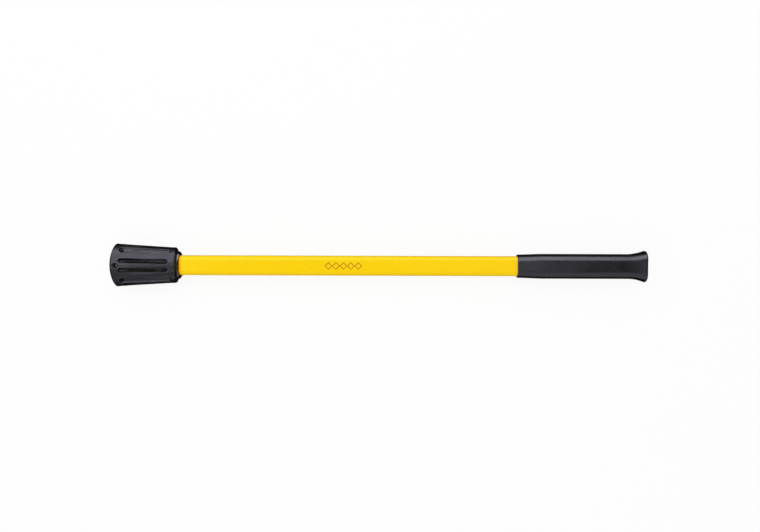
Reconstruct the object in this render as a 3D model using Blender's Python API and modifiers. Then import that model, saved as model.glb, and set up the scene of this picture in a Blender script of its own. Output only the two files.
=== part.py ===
# Fibreglass replacement handle for a pick or mattock, lying flat on its broad side.
# X runs along the handle, with the eye collar at -X and the grip's butt at +X.
# Y is the handle's wide direction and Z its thin one. The origin is under the middle of the handle.

import math

import bmesh
import bpy
from mathutils import Matrix, Vector

MM = 0.001

# Driving sizes. A place along the handle, or "at", is a distance from the collar's end face.
OVERALL_LENGTH = 914.4 * MM
GAP = 0.3 * MM
CUT_PAST = 5 * MM

SHAFT_HALF_WIDTH = 16.9 * MM
SHAFT_HALF_DEPTH = 12.7 * MM
SHAFT_CORNER = 8 * MM
SHAFT_START = 0
SHAFT_END = 903 * MM
JACKET_WALL = 2.4 * MM

COLLAR_HALF_WIDTH = 36.9 * MM
COLLAR_HALF_DEPTH = 25.4 * MM
COLLAR_SQUASH = COLLAR_HALF_DEPTH / COLLAR_HALF_WIDTH
COLLAR_TAPER = 0.0614
RIM_RADIUS = 4 * MM
CROWN = 5.1 * MM
CROWN_REACH = 12 * MM
SHOULDER_AT = 106.4 * MM
NECK_AT = 112 * MM
NECK_HALF_WIDTH = 24.2 * MM
BORE_SPARE_AT_EYE = 5 * MM
BORE_SPARE_AT_NECK = 1.5 * MM

FLUTE_WIDTH = 8.8 * MM
FLUTE_DEPTH = 2.8 * MM
# Each kind of flute: its turns round the oval in degrees from the broad face, its start and its end.
FLUTES = (
    ((-13.1, 13.1, 166.9, 193.1), 13.6 * MM, 98.6 * MM),
    ((-47.5, 47.5, 132.5, 227.5), 14.2 * MM, 102.3 * MM),
    ((-90, 90), 23 * MM, 103 * MM),
)

PIN_AT = 9.5 * MM
PIN_RADIUS = 3.175 * MM
PIN_WALL = 1.1 * MM
PIN_LENGTH = 46 * MM
PIN_SLIT_DEGREES = 34

RESIN_START = 1.6 * MM
BEAD_HALF_WIDTH = 23.8 * MM
BEAD_HALF_DEPTH = 16.3 * MM
BEAD_END_ON_BROAD_SIDE = 114.8 * MM
BEAD_END_ON_NARROW_SIDE = 116.6 * MM
BEAD_EDGE = 0.5 * MM

GRIP_START = 693.5 * MM
GRIP_LIP_HALF_WIDTH = 19.9 * MM
GRIP_HALF_WIDTH = 21.1 * MM
GRIP_WALL = 4.2 * MM
GRIP_CORNER = (13.4 * MM, 12 * MM)
GRIP_SWELL_LENGTH = 46 * MM
GRIP_LIP_RADIUS = 1.6 * MM
FLARE_START = 884 * MM
FLARE_PEAK = 912 * MM
BUTT_HALF_WIDTH = 26.9 * MM
BUTT_HALF_DEPTH = 18.5 * MM
BUTT_CORNER = (14 * MM, 16.3 * MM)
BUTT_EDGE_RADIUS = 2.6 * MM
FLARE_POWER = 1.8

AXIS_HEIGHT = COLLAR_HALF_DEPTH
EYE_END_X = -OVERALL_LENGTH / 2

COLOURS = {
    "glass_core": ((0.62, 0.50, 0.27), 0.45, 0.0),
    "yellow_jacket": ((0.98, 0.66, 0.01), 0.32, 0.0),
    "eye_collar": ((0.045, 0.045, 0.048), 0.45, 0.0),
    "bonding_resin": ((0.03, 0.03, 0.03), 0.15, 0.0),
    "collar_pin": ((0.35, 0.35, 0.36), 0.35, 1.0),
    "rubber_grip": ((0.022, 0.022, 0.025), 0.5, 0.0),
}


def clear_scene():
    for old in list(bpy.data.objects):
        bpy.data.objects.remove(old)


def new_collection(name):
    made = bpy.data.collections.new(name)
    bpy.context.scene.collection.children.link(made)
    return made


def material_for(name):
    colour, roughness, metallic = COLOURS[name]
    made = bpy.data.materials.new(name)
    made.use_nodes = True
    shader = made.node_tree.nodes["Principled BSDF"]
    shader.inputs["Base Color"].default_value = (*colour, 1)
    shader.inputs["Roughness"].default_value = roughness
    shader.inputs["Metallic"].default_value = metallic
    return made


def x_at(distance):
    return EYE_END_X + distance


def add_object(name, mesh, collection):
    made = bpy.data.objects.new(name, mesh)
    collection.objects.link(made)
    if collection is parts:
        mesh.materials.clear()
        mesh.materials.append(material_for(name))
        mesh.shade_smooth()
        mesh.set_sharp_from_angle(angle=math.radians(32))
    else:
        made.hide_render = True
        made.display_type = "WIRE"
    return made


def cut(target, cutter):
    boolean = target.modifiers.new("cut_" + cutter.name, "BOOLEAN")
    boolean.operation = "DIFFERENCE"
    boolean.solver = "EXACT"
    boolean.object = cutter


def evaluated_mesh(obj, name):
    """The object's shape with its modifiers, as a new mesh, and the object removed."""
    bpy.context.view_layer.update()
    graph = bpy.context.evaluated_depsgraph_get()
    mesh = bpy.data.meshes.new_from_object(obj.evaluated_get(graph))
    mesh.name = name
    bpy.data.objects.remove(obj)
    return mesh


def tidy_mesh(mesh, matrix):
    """Moves a mesh to its place, welds its seams and turns its faces out."""
    shape = bmesh.new()
    shape.from_mesh(mesh)
    shape.transform(matrix)
    bmesh.ops.remove_doubles(shape, verts=shape.verts, dist=0.001 * MM)
    bmesh.ops.recalc_face_normals(shape, faces=shape.faces)
    shape.to_mesh(mesh)
    shape.free()
    return mesh


def arc(centre, radii, start, end, steps):
    """Points on an elliptical arc, with angles in degrees."""
    points = []
    for step in range(steps + 1):
        angle = math.radians(start + (end - start) * step / steps)
        points.append(
            (
                centre[0] + radii[0] * math.cos(angle),
                centre[1] + radii[1] * math.sin(angle),
            )
        )
    return points


def rounded_section(half_width, half_depth, corner_width, corner_depth, steps=7):
    """A rounded rectangle, as (width, depth) points, whose corners are quarter ellipses."""
    points = []
    corners = ((1, 1, 0), (-1, 1, 90), (-1, -1, 180), (1, -1, 270))
    for side, face, turn in corners:
        centre = (side * (half_width - corner_width), face * (half_depth - corner_depth))
        points += arc(centre, (corner_width, corner_depth), turn, turn + 90, steps)
    return points


def shaft_section(spare, steps=7):
    """The shaft's outline, grown by spare on all sides."""
    corner = SHAFT_CORNER + spare
    return rounded_section(SHAFT_HALF_WIDTH + spare, SHAFT_HALF_DEPTH + spare, corner, corner, steps)


def extruded(outlines, thickness, name, matrix):
    """Closed flat outlines, the later ones being holes in the first, made thickness deep about z = 0."""
    curve = bpy.data.curves.new(name, "CURVE")
    curve.dimensions = "2D"
    curve.fill_mode = "BOTH"
    curve.extrude = thickness / 2
    for outline in outlines:
        spline = curve.splines.new("POLY")
        spline.points.add(len(outline) - 1)
        for point, (u, v) in zip(spline.points, outline):
            point.co = (u, v, 0, 1)
        spline.use_cyclic_u = True
    holder = bpy.data.objects.new(name, curve)
    cutters.objects.link(holder)
    mesh = evaluated_mesh(holder, name)
    bpy.data.curves.remove(curve)
    return tidy_mesh(mesh, matrix)


def bar(outlines, start, end, name):
    """Width and depth outlines, run along the handle from start to end."""
    width_to_y_depth_to_z = Matrix(((0, 0, 1, 0), (1, 0, 0, 0), (0, 1, 0, 0), (0, 0, 0, 1)))
    middle = Vector((x_at((start + end) / 2), 0, AXIS_HEIGHT))
    return extruded(outlines, end - start, name, Matrix.Translation(middle) @ width_to_y_depth_to_z)


def loft(rings, name):
    """A closed solid through rings of world points, one ring for each section."""
    shape = bmesh.new()
    loops = [[shape.verts.new(point) for point in ring] for ring in rings]
    count = len(loops[0])
    for near, far in zip(loops, loops[1:]):
        for i in range(count):
            j = (i + 1) % count
            shape.faces.new((near[i], near[j], far[j], far[i]))
    shape.faces.new(loops[0])
    shape.faces.new(loops[-1])
    mesh = bpy.data.meshes.new(name)
    shape.to_mesh(mesh)
    shape.free()
    return tidy_mesh(mesh, Matrix.Identity(4))


def flat_ring(distance, section):
    return [Vector((x_at(distance), y, AXIS_HEIGHT + z)) for y, z in section]


def collar_half_width(distance):
    """Half the collar's width on its straight taper."""
    return COLLAR_HALF_WIDTH - COLLAR_TAPER * (distance - RIM_RADIUS)


def turned_oval(profile, name, steps=72):
    """A profile of (distance, half width) points turned round the handle's axis and flattened."""
    outline = bmesh.new()
    verts = [outline.verts.new((half_width, 0, -distance)) for distance, half_width in profile]
    for upper, lower in zip(verts, verts[1:]):
        outline.edges.new((upper, lower))
    mesh = bpy.data.meshes.new(name)
    outline.to_mesh(mesh)
    outline.free()
    holder = bpy.data.objects.new(name, mesh)
    cutters.objects.link(holder)
    screw = holder.modifiers.new("turn", "SCREW")
    screw.axis = "Z"
    screw.steps = steps
    screw.render_steps = steps
    screw.use_merge_vertices = True
    screw.merge_threshold = 0.001 * MM
    turned = evaluated_mesh(holder, name)
    bpy.data.meshes.remove(mesh)
    down_to_x = Matrix(((0, 0, -1, 0), (1, 0, 0, 0), (0, COLLAR_SQUASH, 0, 0), (0, 0, 0, 1)))
    return tidy_mesh(turned, Matrix.Translation((EYE_END_X, 0, AXIS_HEIGHT)) @ down_to_x)


def collar_profile():
    rim = arc((RIM_RADIUS, COLLAR_HALF_WIDTH - RIM_RADIUS), (RIM_RADIUS, RIM_RADIUS), 180, 90, 6)
    top = collar_half_width(SHOULDER_AT)
    shoulder = (
        (SHOULDER_AT, top),
        (SHOULDER_AT + 1.4 * MM, top - 0.4 * MM),
        (SHOULDER_AT + 2.6 * MM, top - 1.5 * MM),
        (NECK_AT - 1.3 * MM, NECK_HALF_WIDTH + 1.7 * MM),
        (NECK_AT, NECK_HALF_WIDTH),
    )
    face = [(0, share * (COLLAR_HALF_WIDTH - RIM_RADIUS)) for share in (0, 0.4, 0.6, 0.8)]
    return [*face, *rim, *shoulder, (NECK_AT, 0)]


def crown_end(mesh):
    """Draws the flat end back towards its two sides, so that it becomes part of a wide arc."""
    for vert in mesh.vertices:
        distance = vert.co.x - EYE_END_X
        side = (vert.co.y / COLLAR_HALF_WIDTH) ** 2
        vert.co.x += CROWN * side * max(0, 1 - distance / CROWN_REACH)
    return mesh


def flute_matrix(turn, distance):
    """The frame of a flute: x along the collar's slope, z straight out of its surface."""
    angle = math.radians(turn)
    half_width = collar_half_width(distance)
    half_depth = half_width * COLLAR_SQUASH
    point = Vector(
        (x_at(distance), half_width * math.sin(angle), AXIS_HEIGHT + half_depth * math.cos(angle))
    )
    slope = Vector(
        (1, -COLLAR_TAPER * math.sin(angle), -COLLAR_TAPER * COLLAR_SQUASH * math.cos(angle))
    ).normalized()
    outward = Vector((0, math.sin(angle) / half_width, math.cos(angle) / half_depth))
    outward = (outward - outward.dot(slope) * slope).normalized()
    across = outward.cross(slope)
    rotation = Matrix((slope, across, outward)).transposed().to_4x4()
    return Matrix.Translation(point) @ rotation


def flute_cutter(turn, start, end, name):
    radius = FLUTE_WIDTH / 2
    straight = (end - start) / 2 - radius
    outline = arc((straight, 0), (radius, radius), -90, 90, 8)
    outline += arc((-straight, 0), (radius, radius), 90, 270, 8)
    height = 2 * CUT_PAST
    lift = Matrix.Translation((0, 0, height / 2 - FLUTE_DEPTH))
    mesh = extruded([outline], height, name, flute_matrix(turn, (start + end) / 2) @ lift)
    return add_object(name, mesh, cutters)


def round_hole(radius, name):
    """A cutter for the pin, straight through the handle's thin direction."""
    shape = bmesh.new()
    bmesh.ops.create_cone(
        shape,
        cap_ends=True,
        segments=32,
        radius1=radius,
        radius2=radius,
        depth=2 * (COLLAR_HALF_DEPTH + CUT_PAST),
        matrix=Matrix.Translation((x_at(PIN_AT), 0, AXIS_HEIGHT)),
    )
    mesh = bpy.data.meshes.new(name)
    shape.to_mesh(mesh)
    shape.free()
    return add_object(name, mesh, cutters)


def make_shaft():
    inner = shaft_section(-JACKET_WALL)
    core = shaft_section(-JACKET_WALL - GAP)
    jacket_mesh = bar([shaft_section(0), inner], SHAFT_START, SHAFT_END, "yellow_jacket")
    core_mesh = bar([core], SHAFT_START, SHAFT_END, "glass_core")
    return (
        add_object("glass_core", core_mesh, parts),
        add_object("yellow_jacket", jacket_mesh, parts),
    )


def bore_section(distance, spare):
    """The collar's tapered socket, less spare on all sides."""
    along = distance / NECK_AT
    room = BORE_SPARE_AT_EYE + (BORE_SPARE_AT_NECK - BORE_SPARE_AT_EYE) * along
    return shaft_section(room - spare)


def make_collar():
    collar_mesh = crown_end(turned_oval(collar_profile(), "eye_collar"))
    collar = add_object("eye_collar", collar_mesh, parts)
    past = (-CUT_PAST, NECK_AT + CUT_PAST)
    socket = loft([flat_ring(at, bore_section(at, 0)) for at in past], "socket")
    cut(collar, add_object("socket", socket, cutters))
    for turns, start, end in FLUTES:
        for turn in turns:
            cut(collar, flute_cutter(turn, start, end, f"flute_{turn:g}"))
    return collar


def bead_ring(share):
    """A ring on the bead, from share 0 at the collar's neck to share 1 at its feathered edge."""
    swell = math.cos(share * math.pi / 2)
    edge = GAP + BEAD_EDGE
    half_width = SHAFT_HALF_WIDTH + edge
    half_depth = SHAFT_HALF_DEPTH + edge
    corner = SHAFT_CORNER + edge
    base_corner_width = BEAD_HALF_WIDTH - 1 * MM
    base_corner_depth = BEAD_HALF_DEPTH - 1 * MM
    section = rounded_section(
        half_width + (BEAD_HALF_WIDTH - half_width) * swell,
        half_depth + (BEAD_HALF_DEPTH - half_depth) * swell,
        corner + (base_corner_width - corner) * swell,
        corner + (base_corner_depth - corner) * swell,
    )
    ring = []
    for y, z in section:
        narrowness = min(1, abs(y) / half_width) ** 2
        reach = BEAD_END_ON_BROAD_SIDE + narrowness * (BEAD_END_ON_NARROW_SIDE - BEAD_END_ON_BROAD_SIDE)
        start = NECK_AT + GAP
        distance = start + (reach - start) * math.sin(share * math.pi / 2)
        ring.append(Vector((x_at(distance), y, AXIS_HEIGHT + z)))
    return ring


def make_resin():
    sleeve_end = NECK_AT + GAP
    rings = [flat_ring(at, bore_section(at, GAP)) for at in (RESIN_START, NECK_AT)]
    rings.append(flat_ring(sleeve_end, bore_section(NECK_AT, GAP)))
    rings += [bead_ring(step / 6) for step in range(7)]
    resin = add_object("bonding_resin", loft(rings, "bonding_resin"), parts)
    past = (RESIN_START - CUT_PAST, BEAD_END_ON_NARROW_SIDE + CUT_PAST)
    room = add_object("shaft_room_in_resin", bar([shaft_section(GAP)], *past, "room"), cutters)
    cut(resin, room)
    return resin


def make_pin():
    outer = arc((0, 0), (PIN_RADIUS, PIN_RADIUS), PIN_SLIT_DEGREES / 2, 360 - PIN_SLIT_DEGREES / 2, 26)
    bore = PIN_RADIUS - PIN_WALL
    inner = arc((0, 0), (bore, bore), 360 - PIN_SLIT_DEGREES / 2, PIN_SLIT_DEGREES / 2, 20)
    place = Matrix.Translation((x_at(PIN_AT), 0, AXIS_HEIGHT))
    return add_object("collar_pin", extruded([outer + inner], PIN_LENGTH, "collar_pin", place), parts)


def grip_half_width(distance):
    """Half the grip's width, before its lip and its butt edge are rounded."""
    swell = min(1, (distance - GRIP_START) / GRIP_SWELL_LENGTH)
    swell = swell * swell * (3 - 2 * swell)
    flare = min(1, max(0, (distance - FLARE_START) / (FLARE_PEAK - FLARE_START)))
    body = GRIP_LIP_HALF_WIDTH + (GRIP_HALF_WIDTH - GRIP_LIP_HALF_WIDTH) * swell
    return body + (BUTT_HALF_WIDTH - GRIP_HALF_WIDTH) * flare**FLARE_POWER


def grip_ring(distance, inset=0.0):
    """A section of the grip, with its half width drawn in by inset."""
    half_width = grip_half_width(distance)
    knob = max(0, (half_width - GRIP_HALF_WIDTH) / (BUTT_HALF_WIDTH - GRIP_HALF_WIDTH))
    body_depth = half_width - SHAFT_HALF_WIDTH + SHAFT_HALF_DEPTH
    butt_gain = BUTT_HALF_DEPTH - (BUTT_HALF_WIDTH - SHAFT_HALF_WIDTH + SHAFT_HALF_DEPTH)
    corner = [near + (far - near) * knob - inset for near, far in zip(GRIP_CORNER, BUTT_CORNER)]
    half_depth = body_depth + butt_gain * knob
    section = rounded_section(half_width - inset, half_depth - inset, *corner)
    return flat_ring(distance, section)


def make_grip():
    rings = []
    for step in range(4):
        angle = math.radians(30 * step)
        rings.append(
            grip_ring(
                GRIP_START + GRIP_LIP_RADIUS * (1 - math.cos(angle)),
                GRIP_LIP_RADIUS * (1 - math.sin(angle)),
            )
        )
    for step in range(1, 7):
        rings.append(grip_ring(GRIP_START + GRIP_LIP_RADIUS + GRIP_SWELL_LENGTH * step / 6))
    for step in range(11):
        rings.append(grip_ring(FLARE_START + (FLARE_PEAK - FLARE_START) * step / 10))
    for step in range(6):
        angle = math.radians(18 * step)
        distance = OVERALL_LENGTH - BUTT_EDGE_RADIUS * (1 - math.sin(angle))
        rings.append(grip_ring(distance, BUTT_EDGE_RADIUS * (1 - math.cos(angle))))
    grip = add_object("rubber_grip", loft(rings, "rubber_grip"), parts)
    bore = bar([shaft_section(GAP)], GRIP_START - CUT_PAST, SHAFT_END + GAP, "grip_bore")
    cut(grip, add_object("grip_bore", bore, cutters))
    return grip


clear_scene()
parts = new_collection("pick_handle")
cutters = new_collection("cutters")

glass_core, yellow_jacket = make_shaft()
eye_collar = make_collar()
bonding_resin = make_resin()
collar_pin = make_pin()
rubber_grip = make_grip()

pin_hole = round_hole(PIN_RADIUS + GAP, "pin_hole")
for drilled in (glass_core, yellow_jacket, eye_collar, bonding_resin):
    cut(drilled, pin_hole)
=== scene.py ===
import math

import bmesh
import bpy
from mathutils import Matrix, Vector, noise


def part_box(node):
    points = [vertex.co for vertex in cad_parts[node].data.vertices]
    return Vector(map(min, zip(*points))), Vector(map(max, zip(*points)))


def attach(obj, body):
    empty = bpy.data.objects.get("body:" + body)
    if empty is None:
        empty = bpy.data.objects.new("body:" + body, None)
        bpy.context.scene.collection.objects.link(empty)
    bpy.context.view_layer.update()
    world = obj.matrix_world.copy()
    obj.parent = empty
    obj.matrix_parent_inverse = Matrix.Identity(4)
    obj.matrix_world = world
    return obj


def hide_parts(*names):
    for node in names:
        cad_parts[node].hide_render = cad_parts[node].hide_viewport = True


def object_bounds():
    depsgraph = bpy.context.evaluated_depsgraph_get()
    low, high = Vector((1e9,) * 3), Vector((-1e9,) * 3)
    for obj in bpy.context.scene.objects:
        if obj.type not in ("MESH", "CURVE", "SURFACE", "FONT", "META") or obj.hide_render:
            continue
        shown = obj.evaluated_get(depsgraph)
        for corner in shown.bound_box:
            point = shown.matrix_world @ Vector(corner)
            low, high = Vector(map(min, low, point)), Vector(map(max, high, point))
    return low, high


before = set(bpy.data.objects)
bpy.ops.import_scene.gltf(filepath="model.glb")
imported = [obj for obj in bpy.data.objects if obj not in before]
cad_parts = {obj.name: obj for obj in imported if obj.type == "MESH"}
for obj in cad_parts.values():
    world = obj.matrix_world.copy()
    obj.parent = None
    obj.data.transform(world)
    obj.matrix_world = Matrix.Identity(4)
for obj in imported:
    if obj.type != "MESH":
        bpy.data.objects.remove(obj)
cadLow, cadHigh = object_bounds()
print("frame loaded:", ", ".join(sorted(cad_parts)))

mm = 0.001
weldReach = 0.002 * mm  # points nearer than this become one

# where things are, read from the solids
collarLow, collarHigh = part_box("eye_collar")
jacketLow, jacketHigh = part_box("yellow_jacket")
coreLow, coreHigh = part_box("glass_core")
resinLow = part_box("bonding_resin")[0]
pinLow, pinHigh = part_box("collar_pin")
gripLow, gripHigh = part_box("rubber_grip")
eyeEnd = collarLow.x
neckEnd = collarHigh.x
axisHeight = (jacketLow.z + jacketHigh.z) / 2
shaftHalfWidth = jacketHigh.y
shaftHalfDepth = jacketHigh.z - axisHeight
shaftCorner = 8 * mm


# small helpers for meshes

def section(halfWidth, halfDepth, cornerWidth, cornerDepth, steps=16):
    # a rounded rectangle whose corners are quarter ellipses, as (width, depth) points
    points = []
    for side, face, turn in ((1, 1, 0), (-1, 1, 90), (-1, -1, 180), (1, -1, 270)):
        for step in range(steps + 1):
            angle = math.radians(turn + 90 * step / steps)
            points.append((
                side * (halfWidth - cornerWidth) + cornerWidth * math.cos(angle),
                face * (halfDepth - cornerDepth) + cornerDepth * math.sin(angle),
            ))
    return points


def shaftSection(spare, steps=16):
    corner = shaftCorner + spare
    return section(shaftHalfWidth + spare, shaftHalfDepth + spare, corner, corner, steps)


def ringAt(x, outline):
    return [Vector((x, y, axisHeight + z)) for y, z in outline]


def newObject(name, data):
    thing = bpy.data.objects.new(name, data)
    bpy.context.scene.collection.objects.link(thing)
    return thing


def skin(name, rings, closed=False):
    # a surface through rings of points; closed joins the last ring to the first, otherwise both ends are capped
    shape = bmesh.new()
    loops = [[shape.verts.new(point) for point in ring] for ring in rings]
    count = len(loops[0])
    pairs = list(zip(loops, loops[1:]))
    if closed:
        pairs.append((loops[-1], loops[0]))
    for near, far in pairs:
        for i in range(count):
            j = (i + 1) % count
            shape.faces.new((near[i], near[j], far[j], far[i]))
    if not closed:
        shape.faces.new(loops[0])
        shape.faces.new(loops[-1])
    bmesh.ops.remove_doubles(shape, verts=shape.verts, dist=weldReach)
    bmesh.ops.recalc_face_normals(shape, faces=shape.faces)
    mesh = bpy.data.meshes.new(name)
    shape.to_mesh(mesh)
    shape.free()
    return newObject(name, mesh)


def bake(piece):
    # the piece's shape with its modifiers becomes its plain mesh
    bpy.context.view_layer.update()
    graph = bpy.context.evaluated_depsgraph_get()
    mesh = bpy.data.meshes.new_from_object(piece.evaluated_get(graph))
    piece.modifiers.clear()
    piece.data = mesh
    return piece


def drop(helper):
    bpy.data.objects.remove(helper)


def finishPiece(piece, material, node, sharp=35):
    mesh = piece.data
    if material:
        mesh.materials.clear()
        mesh.materials.append(material)
    mesh.shade_smooth()
    mesh.set_sharp_from_angle(angle=math.radians(sharp))
    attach(piece, "root")
    if node:
        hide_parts(node)
    print("made", piece.name, len(mesh.polygons), "faces")
    return piece


# node helpers

def addNode(tree, kind, **settings):
    node = tree.nodes.new(kind)
    for key, value in settings.items():
        setattr(node, key, value)
    return node


def feed(tree, target, value):
    # a link when the value is a socket, otherwise a plain number or colour
    if isinstance(value, bpy.types.NodeSocket):
        tree.links.new(value, target)
    else:
        target.default_value = value


def combine(tree, operation, a, b=None, clamp=False):
    node = addNode(tree, "ShaderNodeMath", operation=operation, use_clamp=clamp)
    feed(tree, node.inputs[0], a)
    if b is not None:
        feed(tree, node.inputs[1], b)
    return node.outputs[0]


def times(tree, a, b):
    return combine(tree, "MULTIPLY", a, b)


def plus(tree, a, b, clamp=False):
    return combine(tree, "ADD", a, b, clamp)


def minus(tree, a, b):
    return combine(tree, "SUBTRACT", a, b)


def between(tree, value, low, high, outLow=0.0, outHigh=1.0, style="SMOOTHSTEP"):
    node = addNode(tree, "ShaderNodeMapRange", interpolation_type=style)
    for socket, number in zip(node.inputs, (value, low, high, outLow, outHigh)):
        feed(tree, socket, number)
    return node.outputs[0]


def newGroup(name, inputs, outputs):
    # a shader group with named float and vector sockets
    group = bpy.data.node_groups.new(name, "ShaderNodeTree")
    for label, value in inputs.items():
        kind = "NodeSocketVector" if isinstance(value, tuple) else "NodeSocketFloat"
        socket = group.interface.new_socket(label, in_out="INPUT", socket_type=kind)
        socket.default_value = value
    for label in outputs:
        group.interface.new_socket(label, in_out="OUTPUT", socket_type="NodeSocketFloat")
    return group, addNode(group, "NodeGroupInput"), addNode(group, "NodeGroupOutput")


grainShape = {
    "fineDetail": 3,
    "broadDetail": 4,
    "broadRoughness": 0.6,
    "mottle": (0.32, 0.68),
}


def buildGrainGroup():
    # a fine relief and a broad mottle, both stretched by Stretch
    group, source, result = newGroup(
        "fineGrain",
        {"Vector": (0.0, 0.0, 0.0), "Stretch": (1.0, 1.0, 1.0), "Fine Scale": 900.0, "Broad Scale": 60.0},
        ("Height", "Mottle"),
    )
    stretched = addNode(group, "ShaderNodeVectorMath", operation="MULTIPLY")
    feed(group, stretched.inputs[0], source.outputs["Vector"])
    feed(group, stretched.inputs[1], source.outputs["Stretch"])
    fine = addNode(group, "ShaderNodeTexNoise")
    fine.inputs["Detail"].default_value = grainShape["fineDetail"]
    feed(group, fine.inputs["Vector"], stretched.outputs[0])
    feed(group, fine.inputs["Scale"], source.outputs["Fine Scale"])
    broad = addNode(group, "ShaderNodeTexNoise")
    broad.inputs["Detail"].default_value = grainShape["broadDetail"]
    broad.inputs["Roughness"].default_value = grainShape["broadRoughness"]
    feed(group, broad.inputs["Vector"], stretched.outputs[0])
    feed(group, broad.inputs["Scale"], source.outputs["Broad Scale"])
    feed(group, result.inputs["Height"], minus(group, fine.outputs["Fac"], 0.5))
    feed(group, result.inputs["Mottle"], between(group, broad.outputs["Fac"], *grainShape["mottle"]))
    return group


scuffShape = {
    "slope": 0.35,
    "stretch": (0.25, 2.4, 2.4),
    "lineDetail": 6,
    "wander": 0.4,
    "lineWidth": 0.012,
    "patchScale": 22,
    "patchDetail": 5,
    "patches": (0.5, 0.7),
    "speckScale": 1400,
    "speckDetail": 2,
    "specks": (0.56, 0.72),
}


def buildScuffGroup():
    # thin rubbed marks that follow the handle, and a thin film of dust
    group, source, result = newGroup(
        "scuffs",
        {"Vector": (0.0, 0.0, 0.0), "Scale": 40.0, "Amount": 0.5},
        ("Scratches", "Dust"),
    )
    bent = addNode(group, "ShaderNodeMapping")
    bent.inputs["Rotation"].default_value = (0, 0, scuffShape["slope"])
    bent.inputs["Scale"].default_value = scuffShape["stretch"]
    feed(group, bent.inputs["Vector"], source.outputs["Vector"])
    lines = addNode(group, "ShaderNodeTexNoise")
    lines.inputs["Detail"].default_value = scuffShape["lineDetail"]
    lines.inputs["Distortion"].default_value = scuffShape["wander"]
    feed(group, lines.inputs["Vector"], bent.outputs[0])
    feed(group, lines.inputs["Scale"], source.outputs["Scale"])
    ridge = combine(group, "ABSOLUTE", minus(group, lines.outputs["Fac"], 0.5))
    thin = between(group, ridge, 0.0, scuffShape["lineWidth"], 1.0, 0.0)
    patches = addNode(group, "ShaderNodeTexNoise")
    patches.inputs["Scale"].default_value = scuffShape["patchScale"]
    patches.inputs["Detail"].default_value = scuffShape["patchDetail"]
    feed(group, patches.inputs["Vector"], source.outputs["Vector"])
    where = between(group, patches.outputs["Fac"], *scuffShape["patches"])
    scratches = times(group, times(group, thin, where), source.outputs["Amount"])
    feed(group, result.inputs["Scratches"], scratches)
    specks = addNode(group, "ShaderNodeTexNoise")
    specks.inputs["Scale"].default_value = scuffShape["speckScale"]
    specks.inputs["Detail"].default_value = scuffShape["speckDetail"]
    feed(group, specks.inputs["Vector"], source.outputs["Vector"])
    film = times(group, between(group, specks.outputs["Fac"], *scuffShape["specks"]), where)
    feed(group, result.inputs["Dust"], times(group, film, source.outputs["Amount"]))
    return group


grainGroup = buildGrainGroup()
scuffGroup = buildScuffGroup()


def startMaterial(name):
    material = bpy.data.materials.new(name)
    material.use_nodes = True
    tree = material.node_tree
    shader = tree.nodes["Principled BSDF"]
    place = addNode(tree, "ShaderNodeTexCoord").outputs["Object"]
    return material, tree, shader, place


def useGroup(tree, group, place, values):
    node = addNode(tree, "ShaderNodeGroup", node_tree=group)
    feed(tree, node.inputs["Vector"], place)
    for label, value in values.items():
        feed(tree, node.inputs[label], value)
    return node.outputs


def useGrain(tree, place, layer):
    # layer is the fine scale, the broad scale, and the stretch along the handle, across it and up
    fine, broad, stretch = layer
    return useGroup(tree, grainGroup, place, {"Stretch": stretch, "Fine Scale": fine, "Broad Scale": broad})


def useScuffs(tree, place, finish):
    scale, amount = finish["scuffs"]
    return useGroup(tree, scuffGroup, place, {"Scale": scale, "Amount": amount})


def glossFrom(tree, mottle, finish):
    return between(tree, mottle, 0.0, 1.0, *finish["gloss"], "LINEAR")


def blendColour(tree, amount, first, second):
    node = addNode(tree, "ShaderNodeMix", data_type="RGBA")  # its colours are sockets 6 and 7
    feed(tree, node.inputs["Factor"], amount)
    for socket, colour in ((node.inputs[6], first), (node.inputs[7], second)):
        feed(tree, socket, colour if isinstance(colour, bpy.types.NodeSocket) else (*colour, 1))
    return node.outputs[2]


def setShine(shader, finish):
    shader.inputs["Specular IOR Level"].default_value = finish["shine"]
    shader.inputs["Specular Tint"].default_value = (*finish["shineTint"], 1)


def addBump(tree, shader, height, distance):
    bump = addNode(tree, "ShaderNodeBump")
    bump.inputs["Distance"].default_value = distance
    bump.inputs["Strength"].default_value = 1.0
    feed(tree, bump.inputs["Height"], height)
    feed(tree, shader.inputs["Normal"], bump.outputs[0])


# the materials

yellowFinish = {
    "colour": (0.940, 0.625, 0.001),
    "deepColour": (0.905, 0.56, 0.001),
    "dustColour": (0.95, 0.72, 0.06),
    "stainColour": (0.84, 0.33, 0.006),
    "gloss": (0.20, 0.28),
    "shine": 0.28,
    "shineTint": (1.0, 0.82, 0.28),
    "fibres": (2600.0, 420.0, (0.02, 1.0, 1.0)),
    "peel": (330.0, 16.0, (1.0, 1.0, 1.0)),
    "scuffs": (55.0, 0.55),
    "streaks": 0.10,
    "clouds": 0.12,
    "wear": 0.4,
    "dust": 0.5,
    "dullWear": 0.2,
    "peelShare": 1.6,
    "fibreDepth": 0.02 * mm,
    "beadStain": (116.2 * mm, 120.4 * mm, 0.9),  # from the eye end, fading out, and how strong
    "gripStain": (2.6 * mm, 0.7),  # how far from the grip, and how strong
}


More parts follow.
